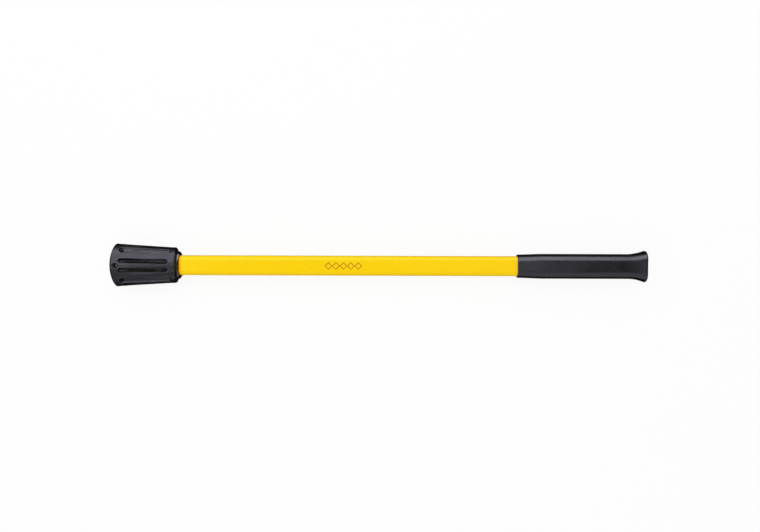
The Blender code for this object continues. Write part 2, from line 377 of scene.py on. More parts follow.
def makeYellow():
    material, tree, shader, place = startMaterial("pultrudedYellow")
    fibres = useGrain(tree, place, yellowFinish["fibres"])
    peel = useGrain(tree, place, yellowFinish["peel"])
    marks = useScuffs(tree, place, yellowFinish)
    streaks = times(tree, fibres["Mottle"], yellowFinish["streaks"])
    clouds = times(tree, peel["Mottle"], yellowFinish["clouds"])
    deep = plus(tree, streaks, clouds)
    tone = blendColour(tree, deep, yellowFinish["colour"], yellowFinish["deepColour"])
    dust = times(tree, marks["Dust"], yellowFinish["dust"])
    worn = plus(tree, marks["Scratches"], dust, clamp=True)
    pale = times(tree, worn, yellowFinish["wear"])
    tone = blendColour(tree, pale, tone, yellowFinish["dustColour"])
    # the yellow turns orange towards the collar's resin bead and towards the grip
    along = addNode(tree, "ShaderNodeSeparateXYZ")
    feed(tree, along.inputs[0], place)
    tintStart, tintEnd, beadTintAmount = yellowFinish["beadStain"]
    nearBead = between(tree, along.outputs["X"], eyeEnd + tintStart, eyeEnd + tintEnd, beadTintAmount, 0.0)
    gripTintReach, gripTintAmount = yellowFinish["gripStain"]
    nearGrip = between(tree, along.outputs["X"], gripLow.x - gripTintReach, gripLow.x, 0.0, gripTintAmount)
    tone = blendColour(tree, plus(tree, nearBead, nearGrip), tone, yellowFinish["stainColour"])
    feed(tree, shader.inputs["Base Color"], tone)
    dull = times(tree, worn, yellowFinish["dullWear"])
    rough = plus(tree, glossFrom(tree, fibres["Mottle"], yellowFinish), dull, clamp=True)
    feed(tree, shader.inputs["Roughness"], rough)
    setShine(shader, yellowFinish)
    peelHeight = times(tree, peel["Height"], yellowFinish["peelShare"])
    addBump(tree, shader, plus(tree, fibres["Height"], peelHeight), yellowFinish["fibreDepth"])
    return material


collarFinish = {
    "name": "mouldedCollarBlack",
    "colour": (0.0045, 0.0043, 0.0056),
    "rubbedColour": (0.050, 0.049, 0.058),
    "gloss": (0.28, 0.42),
    "streaks": 0.40,
    "shine": 0.36,
    "shineTint": (0.86, 0.84, 1.0),
    "grainDepth": 0.05 * mm,
}
# a darker, duller copy of the collar's black: painted shade in the middle flutes, the flute toes and the pin's
# recess
shadedFluteFinish = {
    "name": "sunkFluteBlack",
    "colour": (0.0018, 0.0018, 0.0024),
    "rubbedColour": (0.062, 0.062, 0.072),
    "gloss": (0.34, 0.55),
    "streaks": 0.62,
    "shine": 0.08,
    "shineTint": (0.86, 0.88, 1.0),
    "grainDepth": 0.30 * mm,
}


# the same grain and marks run over the collar's lands and its flutes
collarGrain = {
    "grain": (1500.0, 45.0, (1.0, 1.0, 1.0)),
    "flow": (500.0, 130.0, (0.12, 1.0, 1.0)),
    "scuffs": (85.0, 0.8),
    "edgeMottle": (0.2, 0.9),
    "edgeWear": (0.15, 0.5),
    "edgePolish": 0.08,
    "scratchWear": 0.6,
    "streakFrom": 0.45,
    "dullDust": 0.3,
    "flowShare": 0.8,
}
wearAndHighlightEdges = ("middleFluteEdge", "sideFluteEdge")


def makeCollarBlack(finish):
    material, tree, shader, place = startMaterial(finish["name"])
    grain = useGrain(tree, place, collarGrain["grain"])
    flow = useGrain(tree, place, collarGrain["flow"])
    marks = useScuffs(tree, place, collarGrain)
    # the band round the flutes' edges is lightened: rubbed wear and painted highlight
    edges = [addNode(tree, "ShaderNodeAttribute", attribute_name=name).outputs["Fac"] for name in wearAndHighlightEdges]
    edge = combine(tree, "MAXIMUM", *edges)
    wear = between(tree, grain["Mottle"], *collarGrain["edgeMottle"], *collarGrain["edgeWear"])
    rubbed = times(tree, edge, wear)
    scratches = times(tree, marks["Scratches"], collarGrain["scratchWear"])
    rubbed = plus(tree, rubbed, scratches, clamp=True)
    streak = between(tree, flow["Mottle"], collarGrain["streakFrom"], 1.0, 0.0, finish["streaks"])
    rubbed = plus(tree, rubbed, streak, clamp=True)
    feed(tree, shader.inputs["Base Color"], blendColour(tree, rubbed, finish["colour"], finish["rubbedColour"]))
    polish = times(tree, edge, collarGrain["edgePolish"])
    rough = minus(tree, glossFrom(tree, grain["Mottle"], finish), polish)
    dust = times(tree, marks["Dust"], collarGrain["dullDust"])
    feed(tree, shader.inputs["Roughness"], plus(tree, rough, dust, clamp=True))
    setShine(shader, finish)
    flowHeight = times(tree, flow["Height"], collarGrain["flowShare"])
    addBump(tree, shader, plus(tree, grain["Height"], flowHeight), finish["grainDepth"])
    return material


resinFinish = {
    "colour": (0.008, 0.0078, 0.009),
    "thinColour": (0.026, 0.021, 0.013),
    "gloss": (0.10, 0.22),
    "coat": 0.55,
    "coatGloss": 0.08,
    "ripple": (260.0, 150.0, (1.0, 1.0, 1.0)),
    "scuffs": (120.0, 0.5),
    "thinShare": 0.5,
    "dullDust": 0.3,
    "rippleDepth": 0.55 * mm,
}


def makeResinBlack():
    material, tree, shader, place = startMaterial("pouredResinBlack")
    ripple = useGrain(tree, place, resinFinish["ripple"])
    marks = useScuffs(tree, place, resinFinish)
    thin = times(tree, ripple["Mottle"], resinFinish["thinShare"])
    tone = blendColour(tree, thin, resinFinish["colour"], resinFinish["thinColour"])
    feed(tree, shader.inputs["Base Color"], tone)
    dust = times(tree, marks["Dust"], resinFinish["dullDust"])
    rough = plus(tree, glossFrom(tree, ripple["Mottle"], resinFinish), dust)
    feed(tree, shader.inputs["Roughness"], rough)
    shader.inputs["Coat Weight"].default_value = resinFinish["coat"]
    shader.inputs["Coat Roughness"].default_value = resinFinish["coatGloss"]
    addBump(tree, shader, ripple["Height"], resinFinish["rippleDepth"])
    return material


rubberFinish = {
    "colour": (0.0070, 0.0068, 0.0088),
    "paleColour": (0.0120, 0.0116, 0.0146),
    "dustColour": (0.042, 0.042, 0.047),
    "gloss": (0.23, 0.31),
    "shine": 0.5,
    "shineTint": (0.86, 0.84, 1.0),
    "grain": (1900.0, 26.0, (1.0, 1.0, 1.0)),
    "drawn": (420.0, 150.0, (0.08, 1.0, 1.0)),
    "scuffs": (48.0, 0.7),
    "grainTone": 0.45,
    "drawnTone": 0.25,
    "scratchWear": 0.3,
    "dustWear": 0.4,
    "dullWear": 0.25,
    "drawnShare": 0.5,
    "grainDepth": 0.03 * mm,
}


def makeRubber():
    material, tree, shader, place = startMaterial("satinGripRubber")
    grain = useGrain(tree, place, rubberFinish["grain"])
    drawn = useGrain(tree, place, rubberFinish["drawn"])
    marks = useScuffs(tree, place, rubberFinish)
    grainTone = times(tree, grain["Mottle"], rubberFinish["grainTone"])
    drawnTone = times(tree, drawn["Mottle"], rubberFinish["drawnTone"])
    patch = plus(tree, grainTone, drawnTone)
    tone = blendColour(tree, patch, rubberFinish["colour"], rubberFinish["paleColour"])
    scratches = times(tree, marks["Scratches"], rubberFinish["scratchWear"])
    dust = times(tree, marks["Dust"], rubberFinish["dustWear"])
    worn = plus(tree, scratches, dust, clamp=True)
    feed(tree, shader.inputs["Base Color"], blendColour(tree, worn, tone, rubberFinish["dustColour"]))
    dull = times(tree, worn, rubberFinish["dullWear"])
    rough = plus(tree, glossFrom(tree, grain["Mottle"], rubberFinish), dull, clamp=True)
    feed(tree, shader.inputs["Roughness"], rough)
    setShine(shader, rubberFinish)
    drawnHeight = times(tree, drawn["Height"], rubberFinish["drawnShare"])
    addBump(tree, shader, plus(tree, grain["Height"], drawnHeight), rubberFinish["grainDepth"])
    return material


coreFinish = {
    "strandColour": (0.60, 0.47, 0.24),
    "resinColour": (0.34, 0.24, 0.09),
    "gloss": (0.40, 0.62),
    "strandScale": 1100.0,
    "strandStretch": (0.004, 1, 1),
    "strandEdge": (0.15, 0.55),
    "grain": (1500.0, 260.0, (0.02, 1.0, 1.0)),
    "grainTone": (0.55, 1.0),
    "sawDepth": 0.05 * mm,
}


def makeSawnGlass():
    material, tree, shader, place = startMaterial("sawnGlassStrands")
    flattened = addNode(tree, "ShaderNodeMapping")
    flattened.inputs["Scale"].default_value = coreFinish["strandStretch"]
    feed(tree, flattened.inputs["Vector"], place)
    strands = addNode(tree, "ShaderNodeTexVoronoi", feature="F1")
    strands.inputs["Scale"].default_value = coreFinish["strandScale"]
    feed(tree, strands.inputs["Vector"], flattened.outputs[0])
    grain = useGrain(tree, place, coreFinish["grain"])
    centre = between(tree, strands.outputs["Distance"], *coreFinish["strandEdge"], 1.0, 0.0)
    grainTone = between(tree, grain["Mottle"], 0.0, 1.0, *coreFinish["grainTone"], "LINEAR")
    mixed = times(tree, centre, grainTone)
    tone = blendColour(tree, mixed, coreFinish["resinColour"], coreFinish["strandColour"])
    feed(tree, shader.inputs["Base Color"], tone)
    feed(tree, shader.inputs["Roughness"], glossFrom(tree, mixed, coreFinish))
    addBump(tree, shader, plus(tree, mixed, grain["Height"]), coreFinish["sawDepth"])
    return material


pinFinish = {
    "name": "blackenedSpringSteel",
    "colour": (0.014, 0.014, 0.016),
    "otherColour": (0.022, 0.015, 0.011),
    "otherShare": 0.45,
    "metallic": 1.0,
    "gloss": (0.40, 0.60),
    "shine": 0.5,
    "shineTint": (1.0, 1.0, 1.0),
    "grain": (2400.0, 700.0, (1.0, 1.0, 0.1)),
    "grainDepth": 0.02 * mm,
}
inkFinish = {
    "name": "bronzeInk",
    "colour": (0.31, 0.11, 0.012),
    "otherColour": (0.46, 0.22, 0.010),
    "otherShare": 0.5,
    "metallic": 0.0,
    "gloss": (0.4, 0.55),
    "shine": 0.15,
    "shineTint": (1.0, 0.8, 0.5),
    "grain": (3000.0, 900.0, (1.0, 1.0, 1.0)),
    "grainDepth": 0.01 * mm,
}


def makeSpeckled(finish):
    # one colour with specks of another: rust on the pin's steel, thin places in the mark's ink
    material, tree, shader, place = startMaterial(finish["name"])
    grain = useGrain(tree, place, finish["grain"])
    other = times(tree, grain["Mottle"], finish["otherShare"])
    feed(tree, shader.inputs["Base Color"], blendColour(tree, other, finish["colour"], finish["otherColour"]))
    feed(tree, shader.inputs["Roughness"], glossFrom(tree, grain["Mottle"], finish))
    shader.inputs["Metallic"].default_value = finish["metallic"]
    setShine(shader, finish)
    addBump(tree, shader, grain["Height"], finish["grainDepth"])
    return material


# the shaft: a yellow jacket round a core of straight glass

shaft = {
    "jacketWall": 2.4 * mm,
    "sawnEdge": 0.4 * mm,
    "rings": 60,
}


def makeJacket():
    start, end = jacketLow.x, jacketHigh.x
    edge = shaft["sawnEdge"]
    stops = [start + edge + (end - start - 2 * edge) * i / shaft["rings"] for i in range(shaft["rings"] + 1)]
    outer = [ringAt(start, shaftSection(-edge))]
    outer += [ringAt(x, shaftSection(0)) for x in stops]
    outer.append(ringAt(end, shaftSection(-edge)))
    inner = [ringAt(x, shaftSection(-shaft["jacketWall"])) for x in (end, start)]
    piece = skin("shaftJacket", outer + inner, closed=True)
    return finishPiece(piece, makeYellow(), "yellow_jacket")


def makeCore():
    spare = coreHigh.y - shaftHalfWidth
    edge = shaft["sawnEdge"] / 2
    rings = [
        ringAt(coreLow.x, shaftSection(spare - edge)),
        ringAt(coreLow.x + edge, shaftSection(spare)),
        ringAt(coreHigh.x - edge, shaftSection(spare)),
        ringAt(coreHigh.x, shaftSection(spare - edge)),
    ]
    return finishPiece(skin("shaftCore", rings), makeSawnGlass(), "glass_core")


# the eye collar: a tapered oval with sunk flutes carved by Geometry Nodes

collar = {
    "rimRadius": 4 * mm,
    "rimSteps": 12,
    "crown": 5.1 * mm,
    "crownReach": 12 * mm,
    "taper": 0.0614,
    "stretches": (  # where each stretch ends, and the step between its rings: fine over the ends of the flutes
        (12.5 * mm, 2.4 * mm), (19.5 * mm, 0.42 * mm), (22.5 * mm, 2.4 * mm), (28 * mm, 0.42 * mm),
        (92.5 * mm, 2.4 * mm), (103.6 * mm, 0.42 * mm), (106.8 * mm, 2.4 * mm),
    ),
    "shoulder": ((1.8 * mm, 0.1 * mm), (2.6 * mm, 1.5 * mm)),  # along and down, to its roll and to its slope
    "shoulderSteps": 6,
    "slopeShares": (0.33, 0.66, 1.0),
    "neckEdge": (1.3 * mm, 1.7 * mm),
    "neckHalfWidth": 24.2 * mm,
    "boreSpareAtEye": 5 * mm,
    "boreSpareAtNeck": 1.5 * mm,
    "boreEdge": 0.6 * mm,
    "boreSteps": 8,
    "around": 640,  # points round each ring
    "fluteUnevenness": 1.5 * mm,
    # each kind of flute: its angles round the collar from the top, start, end, width, depth,
    # width of the soft wall, and how far the floor turns to the broad face
    "middleFlute": ((-13.1, 13.1, 166.9, 193.1), 13.6 * mm, 98.6 * mm, 9.6 * mm, 3.2 * mm, 3.2 * mm, 0.0),
    "sideFlute": ((-47.5, 47.5, 132.5, 227.5), 14.2 * mm, 102.3 * mm, 11.2 * mm, 2.6 * mm, 2.4 * mm, 0.24),
    "fluteToe": ((-47.5, 47.5, 132.5, 227.5), 14.6 * mm, 23 * mm, 9.2 * mm, 1.9 * mm, 2.8 * mm, 0.0),
    "edgeFlute": ((-90, 90), 23 * mm, 103 * mm, 6.4 * mm, 2.0 * mm, 1.6 * mm, 0.0),
    "pinRecess": ((0, 180), 2.2 * mm, 15.2 * mm, 6.2 * mm, 1.1 * mm, 2.2 * mm, 0.0),
    "rubbedEdge": (0.3 * mm, 1.1 * mm),  # inside and outside the flute's wall
    "lumpScale": 210,
    "lumpDetail": 2,
    "paintFrom": 0.06,
    "pinHole": 3.45 * mm,
    "pinHoleEdge": 1.5 * mm,
    "pinHoleSink": 0.3 * mm,
    "pinHoleSides": 48,
    "pinHoleTurn": 0.37,
    "drillReach": 40 * mm,
}
neckAt = neckEnd - eyeEnd
rimHalfWidth = collarHigh.y
collarSquash = (collarHigh.z - axisHeight) / rimHalfWidth


def taperHalfWidth(distance):
    return rimHalfWidth - collar["taper"] * (distance - collar["rimRadius"])


def collarProfile():
    # (distance from the eye end, half width) down the outside, with round edges
    radius = collar["rimRadius"]
    points = []
    for step in range(collar["rimSteps"] + 1):
        angle = math.radians(180 - 90 * step / collar["rimSteps"])
        points.append((radius + radius * math.cos(angle), rimHalfWidth - radius + radius * math.sin(angle)))
    start = radius
    for end, spacing in collar["stretches"]:
        count = math.ceil((end - start) / spacing)
        for step in range(1, count + 1):
            distance = start + (end - start) * step / count
            points.append((distance, taperHalfWidth(distance)))
        start = end
    top = taperHalfWidth(start)
    (rollAlong, rollDown), (slopeAlong, slopeDown) = collar["shoulder"]
    edgeAlong, edgeUp = collar["neckEdge"]
    corner = Vector((start, top))
    roll, slope = corner + Vector((rollAlong, -rollDown)), corner + Vector((slopeAlong, -slopeDown))
    neckEdge = Vector((neckAt - edgeAlong, collar["neckHalfWidth"] + edgeUp))
    for step in range(1, collar["shoulderSteps"] + 1):
        share = step / collar["shoulderSteps"]
        points.append(tuple(corner.lerp(roll, share).lerp(roll.lerp(slope, share), share)))
    for share in collar["slopeShares"]:
        points.append(tuple(slope.lerp(neckEdge, share)))
    points.append((neckAt, collar["neckHalfWidth"]))
    return points


def ovalRing(distance, halfWidth, count):
    ring = []
    for i in range(count):
        angle = 2 * math.pi * i / count
        ring.append(Vector((
            eyeEnd + distance,
            halfWidth * math.cos(angle),
            axisHeight + halfWidth * collarSquash * math.sin(angle),
        )))
    return ring


rayHalvings = 30


def boreRing(distance, spare, count):
    # the shaft's outline grown by spare, met by rays at the oval's angles, each met by halving
    halfWidth, halfDepth = shaftHalfWidth + spare, shaftHalfDepth + spare
    corner = shaftCorner + spare
    ring = []
    for i in range(count):
        angle = 2 * math.pi * i / count
        direction = Vector((math.cos(angle), collarSquash * math.sin(angle)))
        low, high = 0.0, 2 * halfWidth / direction.length
        for _ in range(rayHalvings):
            middle = (low + high) / 2
            outX = max(0.0, abs(direction.x) * middle - (halfWidth - corner))
            outY = max(0.0, abs(direction.y) * middle - (halfDepth - corner))
            if math.hypot(outX, outY) < corner:
                low = middle
            else:
                high = middle
        ring.append(Vector((eyeEnd + distance, direction.x * low, axisHeight + direction.y * low)))
    return ring


def surfaceLines(name, turns, start, end):
    # one straight line on the oval's surface for each flute
    shape = bmesh.new()
    for turn in turns:
        angle = math.radians(turn)
        ends = []
        for distance in (start, end):
            halfWidth = taperHalfWidth(distance)
            ends.append(shape.verts.new((
                eyeEnd + distance,
                halfWidth * math.sin(angle),
                axisHeight + halfWidth * collarSquash * math.cos(angle),
            )))
        shape.edges.new(ends)
    mesh = bpy.data.meshes.new(name)
    shape.to_mesh(mesh)
    shape.free()
    return newObject(name, mesh)


def newGeometryTree(name, inputs):
    tree = bpy.data.node_groups.new(name, "GeometryNodeTree")
    tree.interface.new_socket("Geometry", in_out="OUTPUT", socket_type="NodeSocketGeometry")
    tree.interface.new_socket("Geometry", in_out="INPUT", socket_type="NodeSocketGeometry")
    for label, kind, value in inputs:
        socket = tree.interface.new_socket(label, in_out="INPUT", socket_type=kind)
        if value is not None:
            socket.default_value = value
    return tree, addNode(tree, "NodeGroupInput"), addNode(tree, "NodeGroupOutput")


def useTree(piece, tree, **values):
    # the tree as a modifier, its inputs found by name and set by identifier
    modifier = piece.modifiers.new(tree.name, "NODES")
    modifier.node_group = tree
    for item in tree.interface.items_tree:
        if item.item_type == "SOCKET" and item.in_out == "INPUT" and item.name.replace(" ", "") in values:
            modifier[item.identifier] = values[item.name.replace(" ", "")]
    return modifier


def carveTree():
    tree, source, result = newGeometryTree("carveFlutes", (
        ("Lines", "NodeSocketObject", None),
        ("Width", "NodeSocketFloat", 8 * mm),
        ("Depth", "NodeSocketFloat", 2 * mm),
        ("Wall", "NodeSocketFloat", 1 * mm),
        ("Level", "NodeSocketFloat", 0.0),
        ("Unevenness", "NodeSocketFloat", 0.3 * mm),
        ("Sunk Name", "NodeSocketString", "sunk"),
        ("Edge Name", "NodeSocketString", "edge"),
        ("Material", "NodeSocketMaterial", None),
    ))
    lines = addNode(tree, "GeometryNodeObjectInfo", transform_space="RELATIVE")
    feed(tree, lines.inputs["Object"], source.outputs["Lines"])
    near = addNode(tree, "GeometryNodeProximity", target_element="EDGES")
    feed(tree, near.inputs[0], lines.outputs["Geometry"])
    half = times(tree, source.outputs["Width"], 0.5)
    floorEdge = minus(tree, half, source.outputs["Wall"])
    sunk = between(tree, near.outputs["Distance"], floorEdge, half, 1.0, 0.0)
    # the rubbed edge is a narrow band round the top of the flute's wall, painted highlight as well as rubbed
    # wear
    reachIn, reachOut = collar["rubbedEdge"]
    inside = between(tree, near.outputs["Distance"], minus(tree, half, reachIn), half)
    outside = between(tree, near.outputs["Distance"], half, plus(tree, half, reachOut), 1.0, 0.0)
    marked = source.outputs["Geometry"]
    for label, field in (("Sunk Name", sunk), ("Edge Name", times(tree, inside, outside))):
        store = addNode(tree, "GeometryNodeStoreNamedAttribute", data_type="FLOAT", domain="POINT")
        feed(tree, store.inputs["Name"], source.outputs[label])
        feed(tree, store.inputs["Geometry"], marked)
        feed(tree, store.inputs["Value"], field)
        marked = store.outputs["Geometry"]
    lumps = addNode(tree, "ShaderNodeTexNoise")
    lumps.inputs["Scale"].default_value = collar["lumpScale"]
    lumps.inputs["Detail"].default_value = collar["lumpDetail"]
    lump = minus(tree, lumps.outputs["Fac"], 0.5)
    uneven = times(tree, lump, source.outputs["Unevenness"])
    deep = plus(tree, source.outputs["Depth"], uneven)
    # Level turns a flute's floor towards the flat of the broad face, by cutting deeper where it stands higher
    heights = []
    for point in (addNode(tree, "GeometryNodeInputPosition").outputs[0], near.outputs["Position"]):
        apart = addNode(tree, "ShaderNodeSeparateXYZ")
        feed(tree, apart.inputs[0], point)
        heights.append(combine(tree, "ABSOLUTE", minus(tree, apart.outputs["Z"], axisHeight)))
    rise = times(tree, minus(tree, *heights), source.outputs["Level"])
    deep = plus(tree, deep, rise)
    inward = times(tree, times(tree, sunk, deep), -1.0)
    offset = addNode(tree, "ShaderNodeVectorMath", operation="SCALE")
    feed(tree, offset.inputs[0], addNode(tree, "GeometryNodeInputNormal").outputs[0])
    feed(tree, offset.inputs["Scale"], inward)
    move = addNode(tree, "GeometryNodeSetPosition")
    feed(tree, move.inputs["Geometry"], marked)
    feed(tree, move.inputs["Offset"], offset.outputs[0])
    real = addNode(tree, "GeometryNodeRealizeInstances")
    feed(tree, real.inputs[0], move.outputs[0])
    paint = addNode(tree, "GeometryNodeSetMaterial")
    feed(tree, paint.inputs["Geometry"], real.outputs[0])
    feed(tree, paint.inputs["Material"], source.outputs["Material"])
    # only the sunk faces take the tree's material; for the middle flutes, the toes and the pin recess that is
    # the darker copy with painted shade
    stored = addNode(tree, "GeometryNodeInputNamedAttribute", data_type="FLOAT")
    feed(tree, stored.inputs["Name"], source.outputs["Sunk Name"])
    painted = combine(tree, "GREATER_THAN", stored.outputs["Attribute"], collar["paintFrom"])
    feed(tree, paint.inputs["Selection"], painted)
    feed(tree, result.inputs["Geometry"], paint.outputs[0])
    return tree


def pinHoleCutter():
    # a straight hole with chamfered mouths, turned so that no corner meets an edge of the collar
    radius, edge, reach = collar["pinHole"], collar["pinHoleEdge"], collar["drillReach"]
    pinX = (pinLow.x + pinHigh.x) / 2
    surface = collarHigh.z - axisHeight - collar["pinHoleSink"]
    heights = (-reach, -surface, -surface + edge, surface - edge, surface, reach)
    radii = (radius + edge, radius + edge, radius, radius, radius + edge, radius + edge)
    rings = []
    for height, size in zip(heights, radii):
        ring = []
        for i in range(collar["pinHoleSides"]):
            angle = 2 * math.pi * (i + collar["pinHoleTurn"]) / collar["pinHoleSides"]
            ring.append(Vector((pinX + size * math.cos(angle), size * math.sin(angle), axisHeight + height)))
        rings.append(ring)
    return skin("pinHoleCutter", rings)


def makeCollar():
    landMaterial, shadeMaterial = makeCollarBlack(collarFinish), makeCollarBlack(shadedFluteFinish)
    count = collar["around"]
    rings = [ovalRing(distance, halfWidth, count) for distance, halfWidth in collarProfile()]
    edge = collar["boreEdge"]
    atNeck, atEye = collar["boreSpareAtNeck"], collar["boreSpareAtEye"]
    rings.append(boreRing(neckAt, atNeck + edge / 2, count))
    rings.append(boreRing(neckAt - edge, atNeck, count))
    for step in range(1, collar["boreSteps"]):
        share = step / collar["boreSteps"]
        rings.append(boreRing(neckAt * (1 - share), atNeck + (atEye - atNeck) * share, count))
    rings.append(boreRing(edge, atEye, count))
    rings.append(boreRing(0, atEye + edge, count))
    piece = skin("eyeCollar", rings, closed=True)
    piece.data.materials.append(landMaterial)
    tree = carveTree()
    uneven = collar["fluteUnevenness"]
    # the middle flutes, the flute toes and the pin recess take the darker copy, painted shade in those hollows
    for name, unevenness, material in (
        ("middleFlute", uneven, shadeMaterial), ("sideFlute", uneven, landMaterial),
        ("fluteToe", 0.0, shadeMaterial), ("edgeFlute", 0.0, landMaterial), ("pinRecess", 0.0, shadeMaterial),
    ):
        turns, start, end, width, depth, wall, level = collar[name]
        lines = surfaceLines(name + "Lines", turns, start + width / 2, end - width / 2)
        useTree(
            piece, tree, Lines=lines, Width=width, Depth=depth, Wall=wall, Level=level, Unevenness=unevenness,
            SunkName=name + "Sunk", EdgeName=name + "Edge", Material=material,
        )
        bake(piece)
        drop(lines)
    # the eye end is part of a wide arc, not flat
    for vert in piece.data.vertices:
        side = (vert.co.y / rimHalfWidth) ** 2
        vert.co.x += collar["crown"] * side * max(0, 1 - (vert.co.x - eyeEnd) / collar["crownReach"])
    cutter = pinHoleCutter()
    for material in (landMaterial, shadeMaterial):
        cutter.data.materials.append(material)
    # the hole's walls take the darker copy, painted shade in the pin's recess
    for face in cutter.data.polygons:
        face.material_index = 1
    drill = piece.modifiers.new("drill", "BOOLEAN")
    drill.operation = "DIFFERENCE"
    drill.object = cutter
    bake(piece)
    drop(cutter)
    return finishPiece(piece, None, "eye_collar", sharp=50)


# the resin between shaft and collar, with the bead that ran out at the neck

bead = {
    "halfWidth": 23.8 * mm,
    "halfDepth": 16.3 * mm,
    "endOnBroadSide": 114.8 * mm,
    "endOnNarrowSide": 116.6 * mm,
    "featherEdge": 0.35 * mm,
    "gap": 0.1 * mm,
    "cornerSpare": 1 * mm,
    "unevenness": 0.55 * mm,
    "lumpScale": 130,
    "lumpReach": 8 * mm,
    "edgeScale": 90,
    "edgeSeed": 3,
    "edgeGain": 2.2,
    "shaftGap": 0.05 * mm,
    "rings": 22,
    "cornerSteps": 24,
}


def beadRing(share):
    # share runs from 0 at the collar's neck to 1 at the feathered edge on the shaft
    swell = math.cos(share * math.pi / 2)
    run = math.sin(share * math.pi / 2)
    edge = bead["featherEdge"]
    halfWidth, halfDepth, corner = shaftHalfWidth + edge, shaftHalfDepth + edge, shaftCorner + edge
    outline = section(
        halfWidth + (bead["halfWidth"] - halfWidth) * swell,
        halfDepth + (bead["halfDepth"] - halfDepth) * swell,
        corner + (bead["halfWidth"] - bead["cornerSpare"] - corner) * swell,
        corner + (bead["halfDepth"] - bead["cornerSpare"] - corner) * swell,
        steps=bead["cornerSteps"],
    )
    start = neckAt + bead["gap"]
    ring = []
    for y, z in outline:
        narrow = min(1, abs(y) / halfWidth) ** 2
        reach = bead["endOnBroadSide"] + narrow * (bead["endOnNarrowSide"] - bead["endOnBroadSide"])
        lumps = noise.noise(Vector((y, z, share * bead["lumpReach"])) * bead["lumpScale"]) * bead["unevenness"]
        ragged = noise.noise(Vector((y, z, bead["edgeSeed"])) * bead["edgeScale"])
        reach += ragged * bead["edgeGain"] * bead["unevenness"]
        distance = start + (reach - start) * run
        grow = 1 + lumps * math.sin(share * math.pi) / halfWidth
        ring.append(Vector((eyeEnd + distance, y * grow, axisHeight + z * grow)))
    return ring


def makeResin():
    start = resinLow.x
    atNeck, atEye = collar["boreSpareAtNeck"] - bead["gap"], collar["boreSpareAtEye"] - bead["gap"]
    steps = bead["cornerSteps"]
    outer = [
        ringAt(start, shaftSection(atEye, steps)),
        ringAt(neckEnd, shaftSection(atNeck, steps)),
        ringAt(neckEnd + bead["gap"], shaftSection(atNeck, steps)),
    ]
    outer += [beadRing(i / bead["rings"]) for i in range(bead["rings"] + 1)]
    bore = shaftSection(bead["shaftGap"], steps)
    inner = [Vector((point.x, y, axisHeight + z)) for point, (y, z) in zip(outer[-1], bore)]
    piece = skin("resinBead", outer + [inner, ringAt(start, bore)], closed=True)
    return finishPiece(piece, makeResinBlack(), "bonding_resin", sharp=60)


# the slit spring pin through the collar

pin = {
    "radius": 3.175 * mm,
    "wall": 1.1 * mm,
    "slitDegrees": 34,
    "chamfer": 0.45 * mm,
    "steps": 40,
}


def makePin():
    pinX = (pinLow.x + pinHigh.x) / 2
    half = pin["slitDegrees"] / 2
    steps = pin["steps"]
    turns = [math.radians(half + (360 - 2 * half) * i / steps) for i in range(steps + 1)]
    rings = []
    for height, inset in (
        (pinLow.z, pin["chamfer"]), (pinLow.z + pin["chamfer"], 0),
        (pinHigh.z - pin["chamfer"], 0), (pinHigh.z, pin["chamfer"]),
    ):
        outer = pin["radius"] - inset
        inner = pin["radius"] - pin["wall"]
        ring = [Vector((pinX + outer * math.cos(a), outer * math.sin(a), height)) for a in turns]
        ring += [Vector((pinX + inner * math.cos(a), inner * math.sin(a), height)) for a in reversed(turns)]
        rings.append(ring)
    return finishPiece(skin("springPin", rings), makeSpeckled(pinFinish), "collar_pin")


# the rubber grip

grip = {
    "lipHalfWidth": 19.9 * mm,
    "halfWidth": 21.1 * mm,
    "corner": (13.4 * mm, 12 * mm),
    "swellLength": 46 * mm,
    "lipRadius": 1.6 * mm,
    "flareStart": 884 * mm,
    "flarePeak": 912 * mm,
    "flarePower": 1.8,
    "buttCorner": (14 * mm, 16.3 * mm),
    "buttHalfDepth": 18.5 * mm,
    "buttEdge": 2.6 * mm,
    "boreGap": 0.1 * mm,
    "mouthGap": 0.4 * mm,
    "mouthDepth": 0.3 * mm,
    "stepAlong": 1.6 * mm,
    "cornerSteps": 20,
    "mouthSteps": 9,
    "buttSteps": 10,
}


def gripHalfWidth(distance):
    swell = min(1, (distance - (gripLow.x - eyeEnd)) / grip["swellLength"])
    swell = swell * swell * (3 - 2 * swell)  # eased at both ends
    flare = min(1, max(0, (distance - grip["flareStart"]) / (grip["flarePeak"] - grip["flareStart"])))
    body = grip["lipHalfWidth"] + (grip["halfWidth"] - grip["lipHalfWidth"]) * swell
    return body + (gripHigh.y - grip["halfWidth"]) * flare ** grip["flarePower"]


def gripRing(distance, inset=0.0):
    halfWidth = gripHalfWidth(distance)
    knob = max(0, (halfWidth - grip["halfWidth"]) / (gripHigh.y - grip["halfWidth"]))
    bodyDepth = halfWidth - shaftHalfWidth + shaftHalfDepth
    buttGain = grip["buttHalfDepth"] - (gripHigh.y - shaftHalfWidth + shaftHalfDepth)
    corner = [near + (far - near) * knob - inset for near, far in zip(grip["corner"], grip["buttCorner"])]
    halfDepth = bodyDepth + buttGain * knob
    outline = section(halfWidth - inset, halfDepth - inset, *corner, steps=grip["cornerSteps"])
    return ringAt(eyeEnd + distance, outline)


